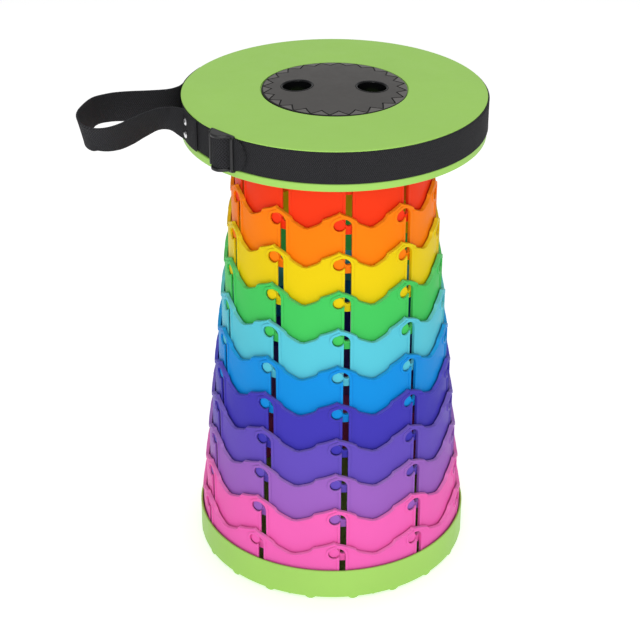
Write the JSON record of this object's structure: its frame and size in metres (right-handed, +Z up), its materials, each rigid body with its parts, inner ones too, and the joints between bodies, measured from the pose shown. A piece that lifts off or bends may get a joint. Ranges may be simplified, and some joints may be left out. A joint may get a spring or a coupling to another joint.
{
  "type": "camp stool",
  "caption": "Collapsible round camp stool whose coloured plastic rings nest into the base, with a lime seat, webbing strap and carrying loop.",
  "frame": {"origin": "on the column's axis, at the underside of the base's middle foot, level with the feet", "axes": "+Z up through the seat; -Y is the front; the carrying loop leaves the seat towards -X"},
  "size_m": [0.3495, 0.2646, 0.4547],
  "materials": {
    "lime_plastic": "satin",
    "red_plastic": "satin",
    "orange_plastic": "satin",
    "yellow_plastic": "satin",
    "green_plastic": "satin",
    "cyan_plastic": "satin",
    "blue_plastic": "satin",
    "indigo_plastic": "satin",
    "violet_plastic": "satin",
    "orchid_plastic": "satin",
    "pink_plastic": "satin",
    "black_plastic": "fine moulded texture",
    "sleeve_plastic": "polished",
    "buckle_plastic": "satin",
    "black_webbing": "woven",
    "screw_steel": "zinc plated",
    "rivet_steel": "polished"
  },
  "bodies": {
    "base": {"base_pan": "lime_plastic", "base_ring": "pink_plastic"},
    "pink": {"pink_ring": "pink_plastic"},
    "orchid": {"orchid_ring": "orchid_plastic"},
    "violet": {"violet_ring": "violet_plastic"},
    "indigo": {"indigo_ring": "indigo_plastic"},
    "blue": {"blue_ring": "blue_plastic"},
    "cyan": {"cyan_ring": "cyan_plastic"},
    "green": {"green_ring": "green_plastic"},
    "yellow": {"yellow_ring": "yellow_plastic"},
    "orange": {"orange_ring": "orange_plastic"},
    "red": {"red_ring": "red_plastic"},
    "seat": {"neck_ring": "red_plastic", "seat_shell": "lime_plastic", "seat_screws": "screw_steel", "grip_plate": "black_plastic", "finger_sleeves": "sleeve_plastic", "strap_band": "black_webbing", "strap_buckle": "buckle_plastic", "handle_loop": "black_webbing", "handle_rivets": "rivet_steel"}
  },
  "joints": [
    {"name": "pink_slide", "type": "slide", "parent": "base", "child": "pink", "axis": [0, 0, -1], "range_m": [0, 0.035]},
    {"name": "orchid_slide", "type": "slide", "parent": "pink", "child": "orchid", "axis": [0, 0, -1], "range_m": [0, 0.035]},
    {"name": "violet_slide", "type": "slide", "parent": "orchid", "child": "violet", "axis": [0, 0, -1], "range_m": [0, 0.035]},
    {"name": "indigo_slide", "type": "slide", "parent": "violet", "child": "indigo", "axis": [0, 0, -1], "range_m": [0, 0.035]},
    {"name": "blue_slide", "type": "slide", "parent": "indigo", "child": "blue", "axis": [0, 0, -1], "range_m": [0, 0.035]},
    {"name": "cyan_slide", "type": "slide", "parent": "blue", "child": "cyan", "axis": [0, 0, -1], "range_m": [0, 0.035]},
    {"name": "green_slide", "type": "slide", "parent": "cyan", "child": "green", "axis": [0, 0, -1], "range_m": [0, 0.035]},
    {"name": "yellow_slide", "type": "slide", "parent": "green", "child": "yellow", "axis": [0, 0, -1], "range_m": [0, 0.035]},
    {"name": "orange_slide", "type": "slide", "parent": "yellow", "child": "orange", "axis": [0, 0, -1], "range_m": [0, 0.035]},
    {"name": "red_slide", "type": "slide", "parent": "orange", "child": "red", "axis": [0, 0, -1], "range_m": [0, 0.035]},
    {"name": "seat_slide", "type": "slide", "parent": "red", "child": "seat", "axis": [0, 0, -1], "range_m": [0, 0.035]}
  ]
}
